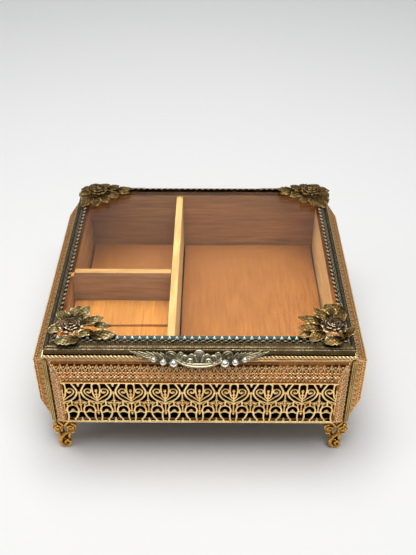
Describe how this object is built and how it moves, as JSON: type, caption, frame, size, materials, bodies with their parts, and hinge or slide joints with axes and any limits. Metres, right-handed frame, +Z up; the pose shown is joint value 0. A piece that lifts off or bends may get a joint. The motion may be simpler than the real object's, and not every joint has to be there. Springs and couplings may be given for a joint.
{
  "type": "jewelry box",
  "caption": "Gilt openwork jewelry box with a hinged bevelled glass lid, leaf and rose corner ornaments, scroll feet and a divided wooden tray inside.",
  "frame": {"origin": "centre of the box's footprint, at the level its feet stand on", "axes": "+X to the right along the front, +Y to the back towards the hinges, +Z up"},
  "size_m": [0.21, 0.205, 0.1005],
  "materials": {
    "panel_brass": "satin",
    "dark_brass": "antique satin",
    "rope_brass": "polished",
    "foot_brass": "antique satin",
    "lid_brass": "antique",
    "leaf_brass": "antique",
    "lift_brass": "worn satin",
    "steel": "dull",
    "wall_wood": "oiled",
    "divider_wood": "bare",
    "floor_wood": "oiled",
    "glass": "polished, bevelled"
  },
  "bodies": {
    "base": {"back_panel": "panel_brass", "base_plate": "dark_brass", "corner_strip_back_left": "dark_brass", "corner_strip_back_right": "dark_brass", "corner_strip_front_left": "dark_brass", "corner_strip_front_right": "dark_brass", "divider_cross": "divider_wood", "divider_long": "divider_wood", "floor_liner_back_left": "floor_wood", "floor_liner_right": "floor_wood", "foot_back_left": "foot_brass", "foot_back_right": "foot_brass", "foot_front_left": "foot_brass", "foot_front_right": "foot_brass", "foot_nut_back_left": "steel", "foot_nut_back_right": "steel", "foot_nut_front_left": "steel", "foot_nut_front_right": "steel", "front_panel": "panel_brass", "hinge_leaf_base_left": "steel", "hinge_leaf_base_right": "steel", "hinge_pin_left": "steel", "hinge_pin_right": "steel", "left_panel": "panel_brass", "right_panel": "panel_brass", "rim_rope_back": "rope_brass", "rim_rope_front": "rope_brass", "rim_rope_left": "rope_brass", "rim_rope_right": "rope_brass", "ring_block_back": "floor_wood", "ring_block_front": "floor_wood", "tray_floor": "wall_wood", "wall_back": "wall_wood", "wall_front": "wall_wood", "wall_left": "wall_wood", "wall_right": "wall_wood"},
    "lid": {"glass_retainer_back": "dark_brass", "glass_retainer_front": "dark_brass", "glass_retainer_left": "dark_brass", "glass_retainer_right": "dark_brass", "hinge_leaf_lid_left": "steel", "hinge_leaf_lid_right": "steel", "leaf_spray_back_left": "leaf_brass", "leaf_spray_back_right": "leaf_brass", "leaf_spray_front_left": "leaf_brass", "leaf_spray_front_right": "leaf_brass", "lid_frame_back": "lid_brass", "lid_frame_front": "lid_brass", "lid_frame_left": "lid_brass", "lid_frame_right": "lid_brass", "lid_glass": "glass", "lid_lift": "lift_brass", "lift_rivet_left": "steel", "lift_rivet_right": "steel", "rose_back_left": "leaf_brass", "rose_back_right": "leaf_brass", "rose_front_left": "leaf_brass", "rose_front_right": "leaf_brass"}
  },
  "joints": [
    {"name": "lid_hinge", "type": "hinge", "parent": "base", "child": "lid", "pos_m": [0, 0.0972, 0.0834], "axis": [-1, 0, 0], "range_deg": [0, 100]}
  ]
}
